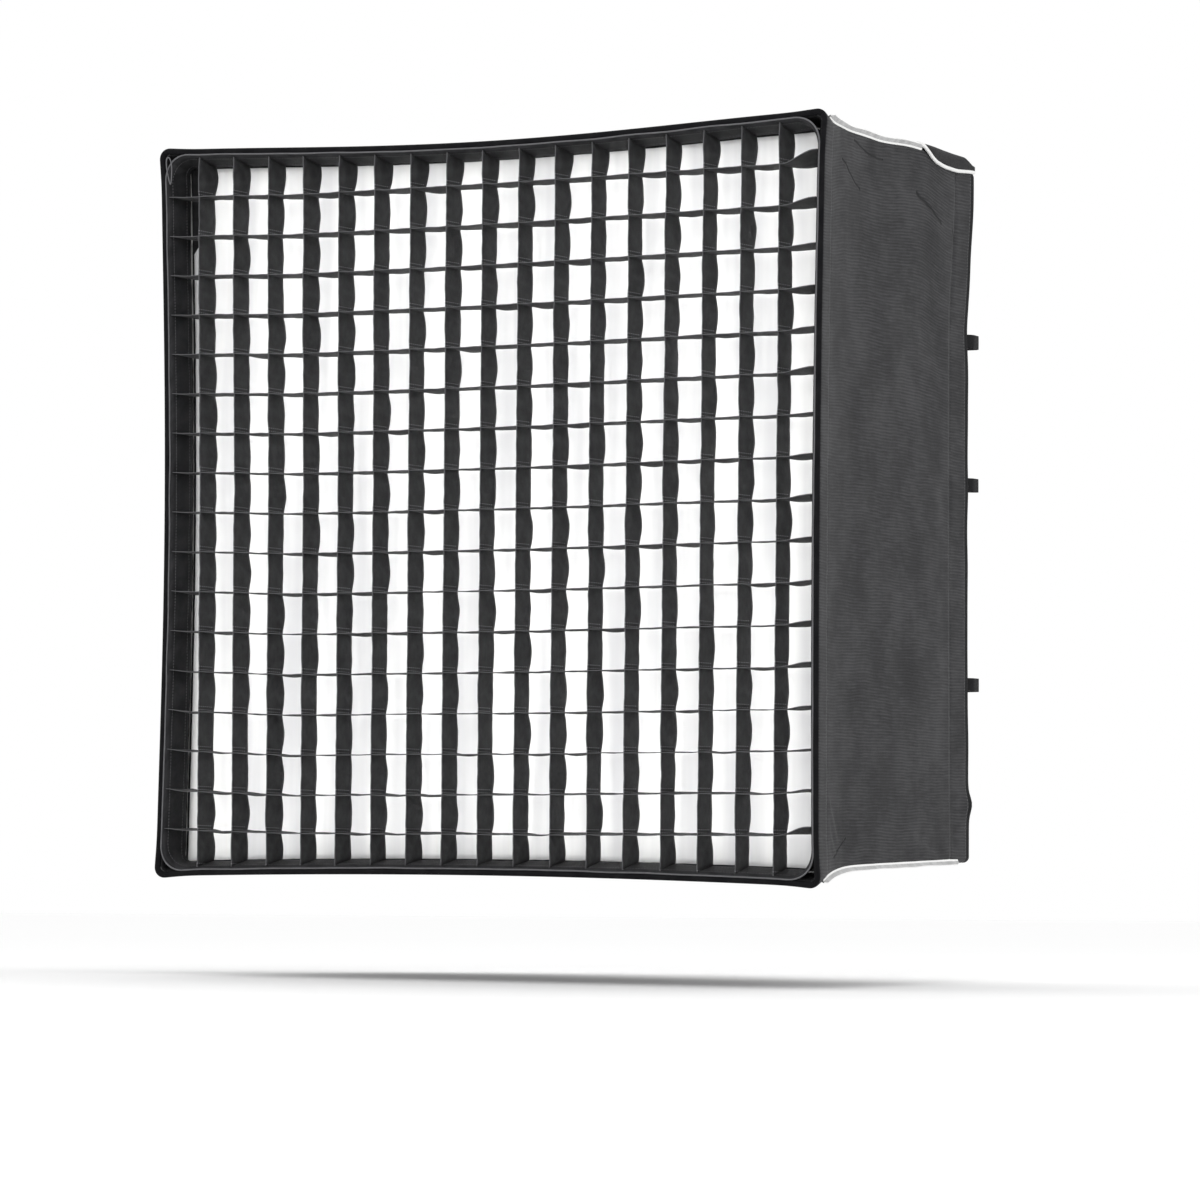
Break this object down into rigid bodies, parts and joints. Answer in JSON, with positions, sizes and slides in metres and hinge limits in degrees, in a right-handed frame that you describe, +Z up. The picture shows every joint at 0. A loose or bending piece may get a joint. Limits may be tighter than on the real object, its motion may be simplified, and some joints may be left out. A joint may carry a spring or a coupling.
{
  "type": "studio softbox",
  "caption": "Square fabric softbox for a flat panel lamp: sprung rim, black tapered shell with white lining, front diffuser, fabric egg-crate grid and rear straps.",
  "frame": {"origin": "centre of the rear seat, the plane that the lamp's face presses against", "axes": "+Y from the front rim to the rear opening, +X to the right seen from the front, +Z up"},
  "size_m": [0.9934, 0.559, 0.9934],
  "materials": {
    "black_cloth": "ribbed black woven nylon, coated inside",
    "white_lining": "matt white reflective cloth",
    "diffuser_cloth": "translucent white diffusion cloth",
    "grid_cloth": "stiffened black woven cloth",
    "grey_piping": "woven cord",
    "white_piping": "woven cord",
    "black_webbing": "woven nylon webbing",
    "hook_and_loop": "hook-and-loop tape",
    "fibreglass_rod": "pultruded fibreglass",
    "socket_plastic": "moulded nylon"
  },
  "bodies": {
    "shell": {"outer_panel_top": "black_cloth", "outer_panel_right": "black_cloth", "outer_panel_bottom": "black_cloth", "outer_panel_left": "black_cloth", "front_hem_top": "black_cloth", "front_hem_right": "black_cloth", "front_hem_bottom": "black_cloth", "front_hem_left": "black_cloth", "lining_top": "white_lining", "lining_right": "white_lining", "lining_bottom": "white_lining", "lining_left": "white_lining", "collar_top": "black_cloth", "collar_right": "black_cloth", "collar_bottom": "black_cloth", "collar_left": "black_cloth", "front_rod_top": "fibreglass_rod", "front_rod_right": "fibreglass_rod", "front_rod_bottom": "fibreglass_rod", "front_rod_left": "fibreglass_rod", "rear_rod_top": "fibreglass_rod", "rear_rod_right": "fibreglass_rod", "rear_rod_bottom": "fibreglass_rod", "rear_rod_left": "fibreglass_rod", "corner_stay_top_right": "fibreglass_rod", "corner_stay_bottom_right": "fibreglass_rod", "corner_stay_bottom_left": "fibreglass_rod", "corner_stay_top_left": "fibreglass_rod", "front_corner_sockets": "socket_plastic", "rear_corner_sockets": "socket_plastic", "corner_seam_tapes": "white_piping", "grid_loop_tape": "hook_and_loop", "diffuser_loop_tape": "hook_and_loop"},
    "diffuser": {"diffuser_cloth": "diffuser_cloth", "diffuser_hook_tape": "hook_and_loop"},
    "grid": {"grid_border_top": "grid_cloth", "grid_border_right": "grid_cloth", "grid_border_bottom": "grid_cloth", "grid_border_left": "grid_cloth", "grid_strips_vertical": "grid_cloth", "grid_strips_horizontal": "grid_cloth", "grid_edge_piping": "grey_piping", "grid_pull_loop": "grey_piping", "grid_hook_tape": "hook_and_loop"},
    "corner_flap_right": {"corner_flap_right": "black_cloth", "flap_piping_right": "white_piping"},
    "rear_strap_right_upper": {"rear_strap_right_upper": "black_webbing", "strap_hook_pad_right_upper": "hook_and_loop"},
    "rear_strap_right_middle": {"rear_strap_right_middle": "black_webbing", "strap_hook_pad_right_middle": "hook_and_loop"},
    "rear_strap_right_lower": {"rear_strap_right_lower": "black_webbing", "strap_hook_pad_right_lower": "hook_and_loop"},
    "corner_flap_left": {"corner_flap_left": "black_cloth", "flap_piping_left": "white_piping"},
    "rear_strap_left_upper": {"rear_strap_left_upper": "black_webbing", "strap_hook_pad_left_upper": "hook_and_loop"},
    "rear_strap_left_middle": {"rear_strap_left_middle": "black_webbing", "strap_hook_pad_left_middle": "hook_and_loop"},
    "rear_strap_left_lower": {"rear_strap_left_lower": "black_webbing", "strap_hook_pad_left_lower": "hook_and_loop"}
  },
  "joints": [
    {"name": "diffuser_lift_off", "type": "slide", "parent": "shell", "child": "diffuser", "axis": [0, -1, 0], "range_m": [0, 0.12]},
    {"name": "grid_lift_off", "type": "slide", "parent": "diffuser", "child": "grid", "axis": [0, -1, 0], "range_m": [0, 0.12]},
    {"name": "corner_flap_right_peel", "type": "hinge", "parent": "shell", "child": "corner_flap_right", "pos_m": [0.404, 0, 0.4652], "axis": [0, -1, 0], "range_deg": [0, 100]},
    {"name": "rear_strap_right_upper_swing", "type": "hinge", "parent": "shell", "child": "rear_strap_right_upper", "pos_m": [0.463, 0.0615, 0.24076], "axis": [0, 0, -1], "range_deg": [0, 100]},
    {"name": "rear_strap_right_middle_swing", "type": "hinge", "parent": "shell", "child": "rear_strap_right_middle", "pos_m": [0.463, 0.0615, 0.0463], "axis": [0, 0, -1], "range_deg": [0, 100]},
    {"name": "rear_strap_right_lower_swing", "type": "hinge", "parent": "shell", "child": "rear_strap_right_lower", "pos_m": [0.463, 0.0615, -0.2315], "axis": [0, 0, -1], "range_deg": [0, 100]},
    {"name": "corner_flap_left_peel", "type": "hinge", "parent": "shell", "child": "corner_flap_left", "pos_m": [-0.404, 0, 0.4652], "axis": [0, 1, 0], "range_deg": [0, 100]},
    {"name": "rear_strap_left_upper_swing", "type": "hinge", "parent": "shell", "child": "rear_strap_left_upper", "pos_m": [-0.463, 0.0615, 0.24076], "axis": [0, 0, 1], "range_deg": [0, 100]},
    {"name": "rear_strap_left_middle_swing", "type": "hinge", "parent": "shell", "child": "rear_strap_left_middle", "pos_m": [-0.463, 0.0615, 0.0463], "axis": [0, 0, 1], "range_deg": [0, 100]},
    {"name": "rear_strap_left_lower_swing", "type": "hinge", "parent": "shell", "child": "rear_strap_left_lower", "pos_m": [-0.463, 0.0615, -0.2315], "axis": [0, 0, 1], "range_deg": [0, 100]}
  ]
}
